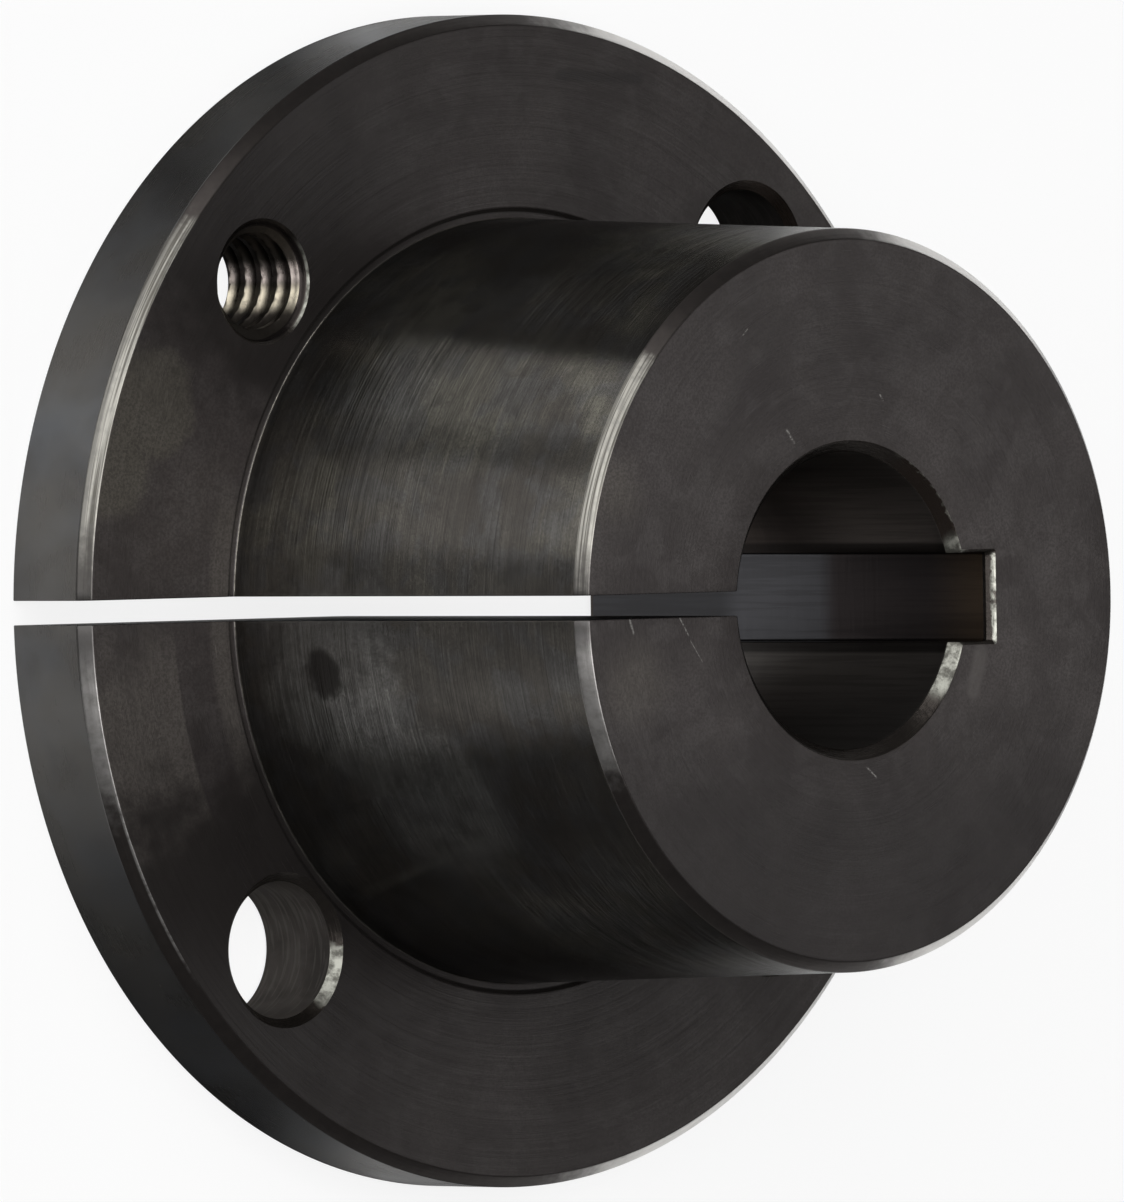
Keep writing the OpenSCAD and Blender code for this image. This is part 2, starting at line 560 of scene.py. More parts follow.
# The distance to a line from start to end: with p and q the point and the end measured from
# the start, the nearest point of the line is q x clamp(p.q / q.q)
stroke, taken, given = new_group(
    "stroke", {"Millimetres": "vector", "Start": "vector", "End": "vector", "Width": 0.06},
    {"Stroke": "value"})
point = vectors(stroke, "SUBTRACT", taken["Millimetres"], taken["Start"])
span = vectors(stroke, "SUBTRACT", taken["End"], taken["Start"])
onto = vectors(stroke, "DOT_PRODUCT", point, span, gives="Value")
span_squared = vectors(stroke, "DOT_PRODUCT", span, span, gives="Value")
nearest = vectors(stroke, "SCALE", span, maths(stroke, "DIVIDE", onto, span_squared, clamp=True))
off_line = vectors(stroke, "DISTANCE", point, nearest, gives="Value")
sharp_part = maths(stroke, "MULTIPLY", taken["Width"], SHARP_SHARE)
stroke.links.new(smooth_range(stroke, off_line, sharp_part, taken["Width"], 1.0, 0.0), given["Stroke"])


def strokes(tree, at, lines):
    """The highest of several strokes, each a start, an end and a width in millimetres."""
    return highest(tree, *[
        use_group(tree, stroke, {"Millimetres": at["Millimetres"], "Start": start, "End": end,
                                 "Width": width})["Stroke"]
        for start, end, width in lines])


print("stroke:", len(stroke.nodes), "nodes")

# %% [markdown]
# ## How every finish starts and ends
# Each finish is a material of its own, and all of them start with the part's directions,
# rings and clouds and end in the same shader. Metal under thin oxide is a Principled shader
# with a high Metallic, lower where the oxide is thick, and a fairly low Roughness. What is
# the same all over, such as Specular Tint, is set on the shader itself. Short names such as
# marks, ragged and colour belong to one finish and are used again by the next.

# %% The start and the end of a finish
BETWEEN_FACES = (20.0, 21.0)


def start_finish(name):
    """A new material, its tree, and the part's directions in it."""
    material, tree = new_material(name)
    place = add_node(tree, "ShaderNodeTexCoord").outputs["Object"]
    return material, tree, use_group(tree, part_place, {"Place": place})


def rings(tree, at, along, spacing, drift):
    """Lathe marks that repeat along the height or the radius."""
    return use_group(tree, lathe_marks, {"Millimetres": at["Millimetres"], "Along": at[along],
                                         "Spacing": spacing, "Drift": drift})


def oxide(tree, at, size, shift):
    """Clouds in the oxide, of a size in millimetres."""
    return use_group(tree, oxide_clouds,
                     {"Millimetres": at["Millimetres"], "Size": size, "Shift": shift})


def flange_side(tree, at):
    """1 on the flange and 0 at the nose: a height between the two faces tells them apart."""
    return smooth_range(tree, at["Height"], *BETWEEN_FACES, 1.0, 0.0)


def finish_metal(material, colour, roughness, height, height_mm, metallic=0.9, tint=0.6):
    """The shader at the end of every finish: its colour, roughness and bump vary over the
    surface, and what is the same all over is set on the shader itself."""
    tree = material.node_tree
    bump = add_node(tree, "ShaderNodeBump",
                    {"Strength": 1.0, "Distance": height_mm * MM, "Height": height})
    shader = add_node(tree, "ShaderNodeBsdfPrincipled", {
        "Base Color": colour, "Roughness": roughness, "Metallic": metallic,
        "Normal": bump.outputs[0], "Specular Tint": (tint, tint, tint, 1.0)})
    add_node(tree, "ShaderNodeOutputMaterial", {"Surface": shader.outputs[0]})
    print(f"{material.name}: {len(tree.nodes)} nodes, bump {height_mm} mm")


print("flange and nose are told apart between", BETWEEN_FACES, "mm")

# %% [markdown]
# ## The turned barrel
# The barrel is the most worked surface: rings from the lathe, grey oxide with an olive cast
# above the slit, three patches where it has worn pale, one dark blot by the slit and a few
# nicks. At its foot a thin light line is painted along the relief ring, a painted highlight.
# The colours come first, and the bump is only the rings.

# %% The barrel's oxide
WORN_GREY = (0.33, 0.325, 0.31)
# Centre, reach, softness and raggedness in millimetres, and how much of the patch shows
WORN_PATCHES = [
    ((-17.0, 11.5, 14.0), 3.2, 1.8, 3.0, 0.45),
    ((-20.0, -3.6, 12.6), 5.0, 1.3, 4.5, 0.75),
    ((-17.4, -10.5, 17.5), 4.6, 1.2, 3.0, 0.6),
]

turned, tree, at = start_finish("turned_oxide")
marks = rings(tree, at, "Height", 0.2, 8.0)
fine = rings(tree, at, "Height", 0.04, 25.0)
clouds = oxide(tree, at, 6.0, 3.0)
small = oxide(tree, at, 2.2, 5.0)
ragged = noise_at(tree, at, 0.6)
above = window(tree, at["Angle"], 2.0, 150.0, 4.0)
olive_cast = times(tree, above, smooth_range(tree, clouds["Tint"], 0.2, 0.9))
grey_clouds = times(tree, smooth_range(tree, small["Cloud"], 0.35, 0.8), 0.5)
colour = mix(tree, clouds["Cloud"], (0.105, 0.096, 0.086), (0.170, 0.160, 0.142))
colour = paint(tree, colour, (olive_cast, (0.225, 0.215, 0.18)), (grey_clouds, (0.15, 0.152, 0.156)))
for centre, reach, soft, rough_mm, share in WORN_PATCHES:
    patch = spot(tree, at, centre, reach, soft, ragged, rough_mm)
    colour = mix(tree, times(tree, patch, share), colour, WORN_GREY)
print("worn patches on the barrel:", len(WORN_PATCHES))

# %% The barrel's flecks, lines, nicks and a painted highlight
# Start, end and width in millimetres
BARREL_NICKS = [
    ((-13.42, 15.42, 13.95), (-12.18, 16.35, 15.62), 0.045),
    ((-15.48, 13.74, 5.79), (-15.45, 13.70, 5.90), 0.14),
    ((-19.90, 2.40, 29.2), (-19.96, 1.20, 29.9), 0.06),
    ((-20.2, 1.10, 17.0), (-20.2, 0.70, 17.0), 0.07),
    ((-20.3, 1.25, 15.6), (-20.3, 0.70, 15.6), 0.06),
]

flecks = noise_at(tree, at, 0.8, 6.0)
blot = spot(tree, at, (-20.1, -3.6, 11.8), 1.25, 0.35, ragged, 1.6)
# A thin light line at the barrel's foot, along the relief ring: a painted highlight
foot_highlight = times(tree, smooth_range(tree, at["Height"], 5.52, 5.60, 1.0, 0.0),
             smooth_range(tree, flecks, 0.3, 0.6, 0.9, 0.3))
grain = noise_at(tree, at, 7.0, 2.0)
nicks = times(tree, strokes(tree, at, BARREL_NICKS), smooth_range(tree, grain, 0.35, 0.6, 0.1, 0.6))
colour = paint(
    tree, colour,
    (smooth_range(tree, flecks, 0.48, 0.58, 0.0, 0.32), (0.07, 0.066, 0.062)),
    (times(tree, blot, 0.95), (0.05, 0.046, 0.045)),
    (smooth_range(tree, marks["Lines"], 0.35, 0.65, 0.0, 0.38), (0.08, 0.075, 0.07)),
    (foot_highlight, (0.50, 0.47, 0.41)),
    (nicks, BARE_STEEL),
    (smooth_range(tree, grain, 0.35, 0.65, 0.0, 0.45), (0.07, 0.065, 0.06)))
roughness = add_up(tree, (marks["Lines"], 0.05), (clouds["Cloud"], -0.03), (1.0, 0.13))
grooves = add_up(tree, (fine["Lines"], 1.0), (marks["Lines"], 0.3))
finish_metal(turned, colour, roughness, grooves, 0.016, tint=0.3)

# %% [markdown]
# ## The faced flange and nose
# On a face the tool moves along the radius, so the rings repeat along it. The faces are
# nearly black: brown-black oxide with olive stains on the flange near the upper tapped hole,
# a lighter edge and a lighter band below the slit, painted light, and fine nicks on the nose.
# Painted shade darkens the flange away from the slit's side and the nose towards its ends.
# One material does both faces and the back, and a mask on the height tells flange from nose.

# %% The faces' oxide, stains and painted light
faced, tree, at = start_finish("faced_oxide")
marks = rings(tree, at, "Radius", 0.16, 7.0)
fine = rings(tree, at, "Radius", 0.04, 25.0)
clouds = oxide(tree, at, 7.0, 11.0)
small = oxide(tree, at, 2.0, 13.0)
ragged = noise_at(tree, at, 0.5)
on_flange = flange_side(tree, at)
ragged_angle = add_up(tree, (ragged, 16.0), (at["Angle"], 1.0), (1.0, -8.0))
brown_clouds = times(tree, smooth_range(tree, small["Cloud"], 0.4, 0.9), 0.35)
olive = highest(tree, spot(tree, at, (-26.6, 11.2, 5.65), 3.0, 0.5, ragged, 1.8),
                spot(tree, at, (-29.6, 7.7, 5.65), 2.6, 0.5, ragged, 1.8))
# The relief ring's outer slope lies in its own shade
slope = times(tree, window(tree, at["Radius"], 21.02, 21.34, 0.03),
              smooth_range(tree, at["Height"], 5.60, 5.64, 1.0, 0.0))
# Painted light: a lighter outer edge and a lighter band at the barrel's foot, both below the slit
outer_painted_light = times(tree, smooth_range(tree, at["Radius"], 25.15, 25.4),
                  window(tree, ragged_angle, -26.0, -5.0, 5.0), on_flange)
foot_band = times(tree, window(tree, at["Radius"], 21.3, 22.6, 0.35),
                  window(tree, ragged_angle, -26.0, 12.0, 8.0))
light = highest(tree, outer_painted_light, times(tree, foot_band, on_flange, 0.9))
colour = paint(
    tree, mix(tree, clouds["Cloud"], (0.044, 0.038, 0.037), (0.066, 0.058, 0.056)),
    (brown_clouds, (0.085, 0.077, 0.075)),
    (times(tree, olive, on_flange, 0.55), (0.120, 0.111, 0.090)),
    (times(tree, slope, on_flange, 0.85), (0.016, 0.014, 0.013)),
    (times(tree, light, 0.75), (0.120, 0.108, 0.098)))
print("faced_oxide so far:", len(tree.nodes), "nodes")

# %% The faces' shade and smudges
axes = split(tree, at["Millimetres"])
on_nose = maths(tree, "SUBTRACT", 1.0, on_flange)
# Painted shade: the nose darkens towards both ends along Y, most towards -Y
nose_painted_shade = highest(tree, smooth_range(tree, axes["Y"], -13.5, -4.0, 0.68, 0.0),
                    smooth_range(tree, axes["Y"], 4.0, 14.0, 0.0, 0.26))
smudge = highest(tree, spot(tree, at, (-16.1, -4.1, 31.75), 1.8, 1.5, ragged, 1.5),
                 spot(tree, at, (-17.3, 6.3, 31.75), 1.6, 1.3, ragged, 1.5))
streak = strokes(tree, at, [((3.7, 28.4, 5.65), (9.6, 28.2, 5.65), 0.5)])
# Painted shade: the flange darkens away from the slit's side, and less far round
off_slit = maths(tree, "ABSOLUTE", maths(tree, "SUBTRACT", ragged_angle, 5.0))
away = smooth_range(tree, off_slit, 18.0, 32.0)
beyond = smooth_range(tree, maths(tree, "ABSOLUTE", ragged_angle), 50.0, 85.0)
shade = times(tree, on_flange, add_up(tree, (away, 0.80), (beyond, -0.42)))
colour = paint(
    tree, colour,
    (times(tree, nose_painted_shade, on_nose), (0.018, 0.016, 0.016)),
    (times(tree, smudge, 0.5), (0.115, 0.103, 0.090)),
    (times(tree, streak, 0.6), (0.02, 0.018, 0.018)),
    (shade, (0.010, 0.009, 0.0085)))
print("faced_oxide so far:", len(tree.nodes), "nodes")

# %% The faces' grain, rings and nicks
# Start, end and width in millimetres
NOSE_NICKS = [
    ((-4.63, 9.18, 31.75), (-4.12, 8.50, 31.75), 0.10),
    ((-16.36, -0.71, 31.75), (-16.12, -1.40, 31.75), 0.10),
    ((-12.71, -0.68, 31.75), (-12.10, -1.60, 31.75), 0.06),
    ((-11.95, -1.90, 31.75), (-11.10, -3.05, 31.75), 0.032),
    ((-7.76, 14.29, 31.75), (-7.41, 14.61, 31.75), 0.045),
    ((2.30, 10.95, 31.75), (2.50, 10.65, 31.75), 0.07),
    ((0.90, -8.95, 31.75), (1.60, -9.50, 31.75), 0.06),
]

grain = noise_at(tree, at, 7.0, 2.0)
ring_share = add_up(tree, (on_flange, 0.12), (1.0, 0.08))
rubbed = strokes(tree, at, [((9.5, -2.9, 31.75), (8.9, -5.0, 31.75), 0.7)])
nicks = strokes(tree, at, NOSE_NICKS)
colour = paint(
    tree, colour,
    (smooth_range(tree, grain, 0.35, 0.65, 0.0, 0.42), (0.022, 0.019, 0.018)),
    (times(tree, smooth_range(tree, marks["Lines"], 0.3, 0.7), ring_share), (0.028, 0.024, 0.023)),
    (times(tree, rubbed, smooth_range(tree, grain, 0.3, 0.7, 0.1, 0.3)), (0.16, 0.15, 0.14)),
    (times(tree, nicks, smooth_range(tree, grain, 0.35, 0.65, 0.0, 0.5)), BARE_STEEL))
roughness = add_up(tree, (marks["Lines"], 0.08), (clouds["Cloud"], -0.05), (1.0, 0.24))
grooves = add_up(tree, (fine["Lines"], 0.6), (times(tree, fine["Lines"], on_flange), 0.4), (grain, 0.5))
finish_metal(faced, colour, roughness, grooves, 0.012, metallic=0.4)

# %% [markdown]
# ## The rim
# The flange's rim is a plain turned band, greyer than the faces. It needs only clouds, thin
# oxide in places, and rings with broad bands in its bump.

# %% The rim
rim, tree, at = start_finish("rim_oxide")
marks = rings(tree, at, "Height", 0.2, 14.0)
clouds = oxide(tree, at, 5.0, 7.0)
colour = mix(tree, clouds["Cloud"], (0.085, 0.082, 0.080), (0.115, 0.118, 0.124))
colour = mix(tree, times(tree, clouds["Tint"], 0.5), colour, THIN_OXIDE)
roughness = add_up(tree, (marks["Lines"], 0.08), (clouds["Cloud"], -0.05), (1.0, 0.24))
finish_metal(rim, colour, roughness, add_up(tree, (marks["Lines"], 1.0), (marks["Bands"], 2.0)), 0.006)

# %% [markdown]
# ## The chamfers
# Edges wear first, so the chamfers of the rim and the nose show steel. The wear is laid
# where the light catches it, so it is partly wear and partly painted light: a bright stretch
# above the slit, a duller one below it as painted shade, and a thin line on the rim and pale
# stretches far round on both sides as painted highlights. A chamfer is about half a
# millimetre wide, so most of its wear is laid by angle.

# %% The worn chamfers, with painted light and shade
chamfer, tree, at = start_finish("chamfer_wear_and_light")
marks = rings(tree, at, "Height", 0.10, 12.0)
ragged = noise_at(tree, at, 1.1)
rubbed = noise_at(tree, at, 1.6, 4.0)
on_flange = flange_side(tree, at)
ragged_angle = add_up(tree, (ragged, 9.0), (at["Angle"], 1.0), (1.0, -4.5))
upper = window(tree, ragged_angle, 1.0, 41.0, 2.5)
# Painted shade: a duller stretch of the wear below the slit
lower = window(tree, add_up(tree, (on_flange, -8.0), (ragged_angle, 1.0)), -26.0, 1.5, 4.0)
# Painted highlight: a thin line on the rim's chamfer below the slit
rim_line_highlight = times(tree, smooth_range(tree, at["Height"], 5.52, 5.58),
                  window(tree, ragged_angle, -37.0, -8.0, 4.0), on_flange,
                  smooth_range(tree, rubbed, 0.35, 0.55, 0.4, 1.0))
lower = highest(tree, lower, rim_line_highlight)
outer_third = times(tree, window(tree, at["Height"], 4.9, 5.24, 0.04), 0.55)
near_slit = smooth_range(tree, ragged_angle, 3.0, 13.0, 0.92, 0.0)
lined = smooth_range(tree, marks["Lines"], 0.40, 0.58)
steel = paint(
    tree, mix(tree, lined, (0.085, 0.080, 0.070), (0.30, 0.29, 0.262)),
    (smooth_range(tree, rubbed, 0.45, 0.65, 0.0, 0.35), (0.15, 0.147, 0.137)),
    (highest(tree, outer_third, near_slit), (0.045, 0.042, 0.040)))
grey = mix(tree, smooth_range(tree, at["Angle"], -9.0, -3.0), (0.34, 0.33, 0.32), (0.085, 0.082, 0.080))
# Painted highlights: pale stretches far round on both sides
far_painted_highlight = window(tree, maths(tree, "ABSOLUTE", ragged_angle), 100.0, 138.0, 8.0)
colour = paint(
    tree, mix(tree, rubbed, THICK_OXIDE, BROWN_OXIDE),
    (times(tree, lower, smooth_range(tree, rubbed, 0.2, 0.7, 0.5, 0.9)), grey),
    (times(tree, far_painted_highlight, 0.9), (0.74, 0.725, 0.70)),
    (upper, steel))
roughness = add_up(tree, (marks["Lines"], 0.12), (1.0, 0.24))
grooves = add_up(tree, (marks["Lines"], 1.0), (ragged, 0.6))
finish_metal(chamfer, colour, roughness, grooves, 0.006, tint=1.0)

# %% [markdown]
# ## The mouths
# Keys, shafts and screws rub the mouths of the bore, the keyway and the holes. The oxide
# stays in the countersinks, and bare steel shows as a few bright ragged spots on the lips.
# The spots lie where the lips catch light, so they are wear and painted glints together.

# %% The worn mouths and their painted glints
# Bare steel spots where the lips catch light: wear and painted glints together
# Centre, reach, softness and raggedness in millimetres
MOUTH_GLINT_SPOTS = [
    ((6.9, -3.7, 31.65), 1.6, 0.35, 1.6),
    ((7.9, 2.7, 31.6), 0.7, 0.3, 0.8),
    ((-13.3, -20.2, 5.5), 2.1, 0.3, 2.2),
    ((21.6, 17.0, 5.5), 1.4, 0.4, 1.0),
]

mouth, tree, at = start_finish("mouth_wear_and_glints")
marks = rings(tree, at, "Height", 0.08, 2.0)
ragged = noise_at(tree, at, 1.4, 4.0)
fine_ragged = noise_at(tree, at, 2.6, 3.0)
axes = split(tree, at["Millimetres"])
upper_right = window(tree, at["Angle"], 118.0, 160.0, 8.0)
lip_x = add_up(tree, (ragged, -0.5), (axes["X"], 1.0), (1.0, 0.25))
# The keyway's lip and the tapped hole's lip are painted glints on worn steel as well
key_lip_glint = times(tree, smooth_range(tree, lip_x, 10.46, 10.54),
                smooth_range(tree, at["Height"], 31.2, 31.35), smooth_range(tree, ragged, 0.35, 0.5))
ragged_height = add_up(tree, (fine_ragged, 0.5), (at["Height"], 1.0))
ragged_line = times(tree, smooth_range(tree, ragged_height, 31.93, 31.97, 0.0, 0.6), upper_right,
                    smooth_range(tree, ragged, 0.40, 0.50, 0.0, 0.9))
tapped_lip_glint = times(tree, spot(tree, at, (-14.5, 17.2, 5.6), 2.6, 0.6, ragged, 1.6),
                   smooth_range(tree, at["Height"], 5.5, 5.58))
glint_spots = [spot(tree, at, centre, reach, soft, ragged, rough_mm)
              for centre, reach, soft, rough_mm in MOUTH_GLINT_SPOTS]
bare_and_glints = highest(tree, key_lip_glint, ragged_line, tapped_lip_glint, *glint_spots)
# The tapped hole's countersink, below its lip
cone = times(tree, spot(tree, at, (-18.394, 17.516, 5.2), 4.2, 0.3),
             smooth_range(tree, at["Height"], 5.45, 5.53, 1.0, 0.0))
steel = mix(tree, smooth_range(tree, ragged, 0.38, 0.62), (0.08, 0.078, 0.068), (0.31, 0.31, 0.275))
colour = paint(
    tree, mix(tree, ragged, (0.028, 0.024, 0.022), (0.058, 0.050, 0.044)),
    (times(tree, upper_right, 0.7), (0.045, 0.033, 0.027)),
    (cone, (0.016, 0.013, 0.012)),
    (bare_and_glints, steel))
roughness = add_up(tree, (bare_and_glints, 0.06), (marks["Lines"], 0.1), (1.0, 0.22))
grooves = add_up(tree, (marks["Lines"], 1.0), (ragged, 3.0))
finish_metal(mouth, colour, roughness, grooves, 0.012, tint=1.0)

# %% [markdown]
# ## The bore and the keyway
# The bore is turned, so it has rings, but the keyway is broached: a long toothed bar is
# drawn through it and leaves streaks along the axis. A noise squeezed across and stretched
# nine times along the height makes them. The floor is browner at the nose, and its greyer
# part deep inside is a painted reflection. The bore's lower wall is lightened as painted light.

# %% The bore and the keyway
bore_wall, tree, at = start_finish("bored_oxide")
marks = rings(tree, at, "Height", 0.25, 5.0)
clouds = oxide(tree, at, 5.0, 23.0)
broached = noise_at(tree, at, 1.0, 5.0, stretch=(0.28, 0.28, 9.0))
axes = split(tree, at["Millimetres"])
# Painted light: the bore's lower wall is lightened
lower_wall_painted_light = smooth_range(tree, axes["Y"], -2.6, -2.0, 1.0, 0.0)
high_wall = times(tree, smooth_range(tree, axes["Y"], 2.4, 3.0),
                  smooth_range(tree, at["Height"], 19.0, 27.0))
beside_key = times(tree, window(tree, maths(tree, "ABSOLUTE", axes["Y"]), 2.3, 2.95, 0.12),
                   smooth_range(tree, axes["X"], 6.5, 7.0))
key_floor = smooth_range(tree, axes["X"], 9.6, 10.1)
# Painted reflection: the keyway's floor is greyer deep inside
deep_floor_reflection = times(tree, key_floor, smooth_range(tree, at["Height"], 18.2, 20.0, 1.0, 0.0))
near_nose = smooth_range(tree, at["Height"], 26.5, 31.5)
floor_brown = mix(tree, near_nose, (0.040, 0.034, 0.035), (0.105, 0.075, 0.050))
floor_reflection_grey = mix(tree, smooth_range(tree, at["Height"], 10.5, 12.5), (0.046, 0.046, 0.049),
                 (0.076, 0.076, 0.082))
floor_streaks = times(tree, key_floor, smooth_range(tree, broached, 0.45, 0.60, 0.0, 0.22))
colour = paint(
    tree, mix(tree, clouds["Cloud"], (0.045, 0.037, 0.034), (0.070, 0.058, 0.052)),
    (times(tree, high_wall, 0.9), (0.24, 0.215, 0.200)),
    (times(tree, lower_wall_painted_light, 0.85), (0.148, 0.138, 0.130)),
    (smooth_range(tree, broached, 0.42, 0.62, 0.0, 0.26), (0.022, 0.018, 0.017)),
    (times(tree, beside_key, 0.7), (0.008, 0.007, 0.007)),
    (times(tree, key_floor, 0.85), floor_brown),
    (deep_floor_reflection, floor_reflection_grey),
    (floor_streaks, (0.02, 0.018, 0.018)))
roughness = add_up(tree, (marks["Lines"], 0.06), (clouds["Cloud"], -0.04), (1.0, 0.3))
grooves = add_up(tree, (marks["Lines"], 1.0), (marks["Bands"], 2.0))
finish_metal(bore_wall, colour, roughness, grooves, 0.004)

# %% [markdown]
# ## The saw cut, the drilled holes and the thread
# Three simple finishes are left. The saw leaves coarse lines on the slit's walls, and hardly
# any light gets in. A drill leaves rough rings in a hole. The holes on the slit's side keep a
# light wall, and those on the keyway's side are darkened as painted shade.
# The tapped wall is dark, with two paler stretches painted where light strikes its first crest: painted
# highlights.

# %% The saw cut
sawn, tree, at = start_finish("sawn_oxide")
marks = rings(tree, at, "Radius", 0.3, 6.0)
clouds = oxide(tree, at, 4.0, 29.0)
colour = mix(tree, clouds["Cloud"], (0.014, 0.0135, 0.014), (0.022, 0.022, 0.023))
roughness = add_up(tree, (marks["Lines"], 0.1), (1.0, 0.45))
finish_metal(sawn, colour, roughness, add_up(tree, (marks["Lines"], 1.0), (marks["Bands"], 1.5)), 0.008)

# %% The drilled holes
drilled, tree, at = start_finish("drilled_oxide")
marks = rings(tree, at, "Height", 0.25, 3.5)
clouds = oxide(tree, at, 2.0, 37.0)
axes = split(tree, at["Millimetres"])
# Painted shade: the holes on the keyway's side, beyond X = 0, are darkened
colour = paint(
    tree, mix(tree, clouds["Cloud"], (0.22, 0.202, 0.188), (0.33, 0.30, 0.28)),
    (smooth_range(tree, marks["Lines"], 0.5, 0.6, 0.0, 0.4), (0.50, 0.47, 0.43)),
    (smooth_range(tree, axes["X"], 0.0, 5.0, 0.0, 0.8), (0.02, 0.018, 0.017)))
roughness = add_up(tree, (marks["Lines"], 0.12), (1.0, 0.27))
finish_metal(drilled, colour, roughness, add_up(tree, (marks["Lines"], 1.0), (marks["Bands"], 1.0)), 0.012)

# %% The tapped holes
thread, tree, at = start_finish("tapped_oxide")
marks = rings(tree, at, "Height", 0.12, 1.0)
specks = noise_at(tree, at, 3.0, 3.0)
speckled = smooth_range(tree, specks, 0.2, 0.6, 0.4, 1.0)
axes = split(tree, at["Millimetres"])
# Painted highlights: two paler stretches where light strikes the first crest
pinkish_glint = times(tree, window(tree, axes["Y"], 17.45, 18.45, 0.3), speckled, 0.8)
golden_glint = times(tree, window(tree, axes["Y"], 16.0, 17.2, 0.35), speckled)
colour = paint(
    tree, mix(tree, specks, (0.020, 0.017, 0.015), (0.050, 0.043, 0.036)),
    (pinkish_glint, (0.22, 0.19, 0.175)),
    (golden_glint, (0.25, 0.225, 0.175)))
roughness = add_up(tree, (marks["Lines"], 0.15), (1.0, 0.22))
grooves = add_up(tree, (marks["Lines"], 1.0), (specks, 1.0))
finish_metal(thread, colour, roughness, grooves, 0.006, tint=1.0)

# %% The list of finishes
SURFACES = ["turned", "faced", "rim", "chamfer", "mouth", "bore", "sawn", "drilled", "thread"]
materials = [turned, faced, rim, chamfer, mouth, bore_wall, sawn, drilled, thread]
surface_of = {name: number for number, name in enumerate(SURFACES)}
print("finishes:", [material.name for material in materials])

# %% [markdown]
# ## The turned body
# A lathe makes a surface of revolution, and a saw opens it on one side. So the body is one
# closed section that is carried round the axis, from one wall of the slit to the other.
# The keyway is part of the same sweep: along the bore the circle is replaced by an outline
# that runs out round the key. Every edge has a tiny rounding, because only a rounded edge
# catches light. A Bevel modifier could round them, but worked out here each has its own size.

# %% The section and its rounded corners
EDGE_BREAK = 0.08
RELIEF_BREAK = 0.06
FOOT_BREAK = 0.12
RING_IN = 2.0
CORNER_STEPS = 4


def curve_through(a, corner, b, steps):
    """Points of the curve (1-t)^2 A + 2t(1-t) C + t^2 B, which leaves A towards the corner C
    and reaches B from it."""
    t = np.linspace(0, 1, steps + 1)[:, None]
    return (1 - t) ** 2 * np.array(a) + 2 * t * (1 - t) * np.array(corner) + t**2 * np.array(b)


def round_corner(before, corner, after, reach, steps=CORNER_STEPS):
    """The corner cut back by reach along both of its sides, and rounded."""
    before, corner, after = (np.array(p, float) for p in (before, corner, after))
    a = corner + (before - corner) * reach / np.linalg.norm(before - corner)
    b = corner + (after - corner) * reach / np.linalg.norm(after - corner)
    return curve_through(a, corner, b, steps)


relief_z = flange_t - relief_depth
relief_r = barrel_r(relief_z) + relief_w
shoulder_z = overall_l - nose_chamfer
nose_r = barrel_r(shoulder_z) - nose_chamfer
# Outer half section from the back face to the nose face: radius, height, rounding, and the
# surface that starts there
section_corners = [
    (flange_r - RING_IN, 0.0, 0.0, "faced"),
    (flange_r, 0.0, EDGE_BREAK, "rim"),
    (flange_r, flange_t - rim_chamfer, EDGE_BREAK, "chamfer"),
    (flange_r - rim_chamfer, flange_t, EDGE_BREAK, "faced"),
    (relief_r + relief_depth, flange_t, RELIEF_BREAK, "faced"),
    (relief_r, relief_z, RELIEF_BREAK, "faced"),
    (barrel_r(relief_z), relief_z, FOOT_BREAK, "turned"),
    (barrel_r(shoulder_z), shoulder_z, EDGE_BREAK, "chamfer"),
    (nose_r, overall_l, EDGE_BREAK, "faced"),
    (nose_r - RING_IN, overall_l, 0.0, "faced"),
]


def outer_section(corners):
    """The section's points, and for each point the surface that runs on from it. A rounding
    belongs half to the surface before it and half to the one after."""
    points, surface = [corners[0][:2]], [corners[0][3]]
    half = CORNER_STEPS // 2
    for before, corner, after in zip(corners, corners[1:], corners[2:]):
        points.extend(round_corner(before[:2], corner[:2], after[:2], corner[2]))
        surface.extend([before[3]] * half + [corner[3]] * (half + 1))
    points.append(corners[-1][:2])
    surface.append(corners[-1][3])
    return np.array(points, float), surface


section, section_surface = outer_section(section_corners)
print("outer section:", len(section), "points")

# %% [markdown]
# ## Columns round the axis
# Every row of the sweep needs the same number of points, or the grid would tear. A plain
# circle spends most of them on its arcs and the rest where the keyway passes. The bore's row
# spends them on an arc, a side of the keyway, its floor, the other side and the other arc.

# %% Columns of a circle and of the keyed bore
ARC_STEPS = 180
SIDE_STEPS = 8
FLOOR_STEPS = 16
ROUND_STEPS = 3
SLIT_FILLET = 0.06
KEY_LIP = 0.05
KEY_ROOT = 0.18
key_angle = math.asin(key_half_w / bore_r)
key_columns = 2 * (2 * ROUND_STEPS + SIDE_STEPS) + FLOOR_STEPS


def last_angle(radius):
    """Angle at which the rounding of the slit's edge starts."""
    return math.pi - math.asin((slit_half_w + SLIT_FILLET) / radius)


def on_circle(radius, angles):
    """Points x = r cos a, y = r sin a."""
    return radius * np.stack([np.cos(angles), np.sin(angles)], 1)


def circle_columns(radius):
    """A circle's columns: even steps from the slit to the keyway, across it and on."""
    half = np.linspace(-last_angle(radius), -key_angle, ARC_STEPS + 1)
    middle = np.linspace(-key_angle, key_angle, key_columns + 1)[1:-1]
    return on_circle(radius, np.concatenate([half, middle, -half[::-1]]))


